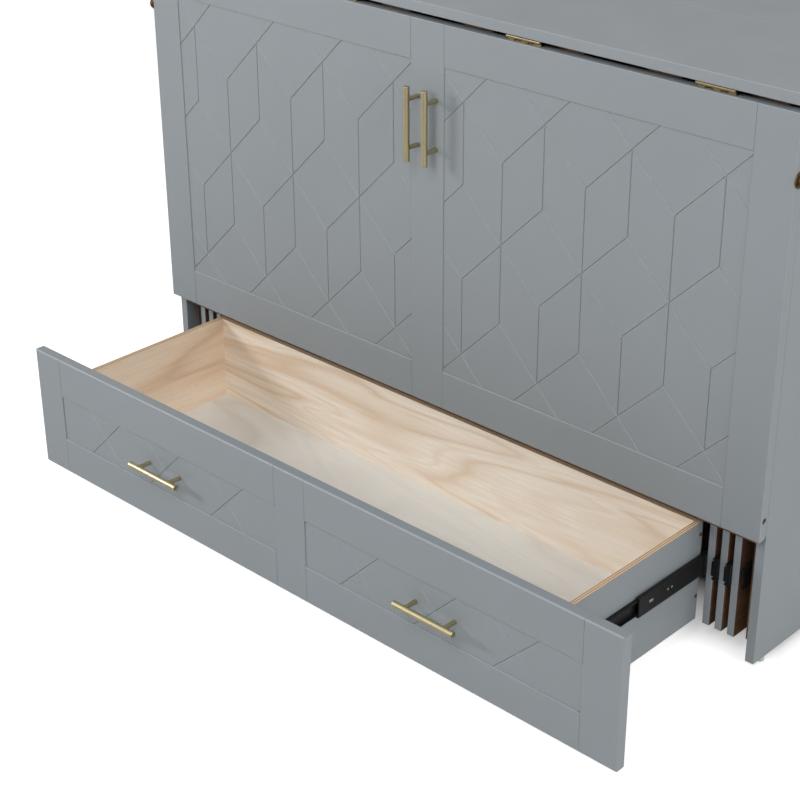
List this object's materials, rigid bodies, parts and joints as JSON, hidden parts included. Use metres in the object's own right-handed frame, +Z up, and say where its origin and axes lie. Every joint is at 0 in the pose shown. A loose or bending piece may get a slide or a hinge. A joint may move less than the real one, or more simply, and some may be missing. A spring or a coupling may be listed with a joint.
{
  "type": "cabinet bed",
  "caption": "Cabinet bed with a fold-down lattice front, a hinged lid, nested pull-out board frames on ball-bearing slides and a plywood storage drawer.",
  "frame": {"origin": "on the floor, under the middle of the bounding box of the stored pose (drawer pulled out)", "axes": "+X to the right seen from the front, +Y from the front to the back, +Z up"},
  "size_m": [1.624, 1.0572, 1.106],
  "materials": {
    "grey_paint": "satin painted",
    "raw_board": "raw",
    "plywood": "matte",
    "black_steel": "satin",
    "pale_brass": "brushed",
    "antique_brass": "aged",
    "nylon": "matte"
  },
  "bodies": {
    "cabinet": {"side_panel_left": "grey_paint", "side_panel_right": "grey_paint", "back_panel": "plywood", "spacer_boards": "raw_board", "floor_glides": "nylon", "deck_front_rail": "plywood", "deck_rear_rail": "plywood", "deck_ledgers": "plywood", "deck_slats": "plywood", "pivot_brackets": "black_steel", "cabinet_slide_channels": "black_steel"},
    "outer_slide_middles": {"outer_slide_middles": "black_steel"},
    "outer_frame": {"outer_boards": "raw_board", "outer_crossbar": "raw_board", "outer_slide_runners": "black_steel", "outer_frame_slide_channels": "black_steel"},
    "middle_slide_middles": {"middle_slide_middles": "black_steel"},
    "middle_frame": {"middle_boards": "raw_board", "middle_crossbar": "raw_board", "middle_slide_runners": "black_steel", "middle_frame_slide_channels": "black_steel"},
    "inner_slide_middles": {"inner_slide_middles": "black_steel"},
    "inner_frame": {"inner_boards": "raw_board", "inner_crossbar": "raw_board", "inner_slide_runners": "black_steel", "inner_frame_slide_channels": "black_steel"},
    "drawer_slide_middles": {"drawer_slide_middles": "black_steel"},
    "drawer": {"drawer_stile_left": "grey_paint", "drawer_stile_right": "grey_paint", "drawer_centre_stile": "grey_paint", "drawer_top_rails": "grey_paint", "drawer_bottom_rails": "grey_paint", "drawer_insert_left": "grey_paint", "drawer_insert_right": "grey_paint", "drawer_handles": "pale_brass", "drawer_box_left": "plywood", "drawer_box_right": "plywood", "drawer_box_back": "plywood", "drawer_box_front": "plywood", "drawer_box_bottom": "plywood", "drawer_slide_runners": "black_steel"},
    "front_panel": {"panel_stile_left": "grey_paint", "panel_stile_right": "grey_paint", "panel_centre_stile": "grey_paint", "panel_top_rails": "grey_paint", "panel_bottom_rails": "grey_paint", "panel_insert_left": "grey_paint", "panel_insert_right": "grey_paint", "panel_handles": "pale_brass", "panel_knobs": "antique_brass", "panel_bolts": "antique_brass", "pivot_pins": "black_steel", "lid_hinge_lower_leaves": "antique_brass", "lid_hinge_pins": "antique_brass"},
    "lid": {"lid_front_board": "grey_paint", "lid_rear_board": "grey_paint", "lid_battens": "plywood", "lid_hinge_upper_leaves": "antique_brass"}
  },
  "joints": [
    {"name": "outer_frame_slide", "type": "slide", "parent": "cabinet", "child": "outer_frame", "axis": [0, -1, 0], "range_m": [0, 0.4767]},
    {"name": "outer_slide_middles_slide", "type": "slide", "parent": "cabinet", "child": "outer_slide_middles", "axis": [0, -1, 0], "range_m": [0, 0.23835]},
    {"name": "middle_frame_slide", "type": "slide", "parent": "outer_frame", "child": "middle_frame", "axis": [0, -1, 0], "range_m": [0, 0.4767]},
    {"name": "middle_slide_middles_slide", "type": "slide", "parent": "outer_frame", "child": "middle_slide_middles", "axis": [0, -1, 0], "range_m": [0, 0.23835]},
    {"name": "inner_frame_slide", "type": "slide", "parent": "middle_frame", "child": "inner_frame", "axis": [0, -1, 0], "range_m": [0, 0.4767]},
    {"name": "inner_slide_middles_slide", "type": "slide", "parent": "middle_frame", "child": "inner_slide_middles", "axis": [0, -1, 0], "range_m": [0, 0.23835]},
    {"name": "drawer_slide", "type": "slide", "parent": "inner_frame", "child": "drawer", "axis": [0, -1, 0], "range_m": [-0.39, 0]},
    {"name": "drawer_slide_middles_slide", "type": "slide", "parent": "inner_frame", "child": "drawer_slide_middles", "axis": [0, -1, 0], "range_m": [-0.195, 0]},
    {"name": "front_panel_hinge", "type": "hinge", "parent": "cabinet", "child": "front_panel", "pos_m": [0, -0.08937, 0.294], "axis": [1, 0, 0], "range_deg": [0, 90]},
    {"name": "lid_hinge", "type": "hinge", "parent": "front_panel", "child": "lid", "pos_m": [0, -0.09738, 1.082], "axis": [1, 0, 0], "range_deg": [0, 90]}
  ],
  "couplings": [
    {"joint": "middle_frame_slide", "follows": "outer_frame_slide", "ratio": 1},
    {"joint": "inner_frame_slide", "follows": "outer_frame_slide", "ratio": 1},
    {"joint": "outer_slide_middles_slide", "follows": "outer_frame_slide", "ratio": 0.5},
    {"joint": "middle_slide_middles_slide", "follows": "outer_frame_slide", "ratio": 0.5},
    {"joint": "inner_slide_middles_slide", "follows": "outer_frame_slide", "ratio": 0.5},
    {"joint": "drawer_slide_middles_slide", "follows": "drawer_slide", "ratio": 0.5}
  ]
}
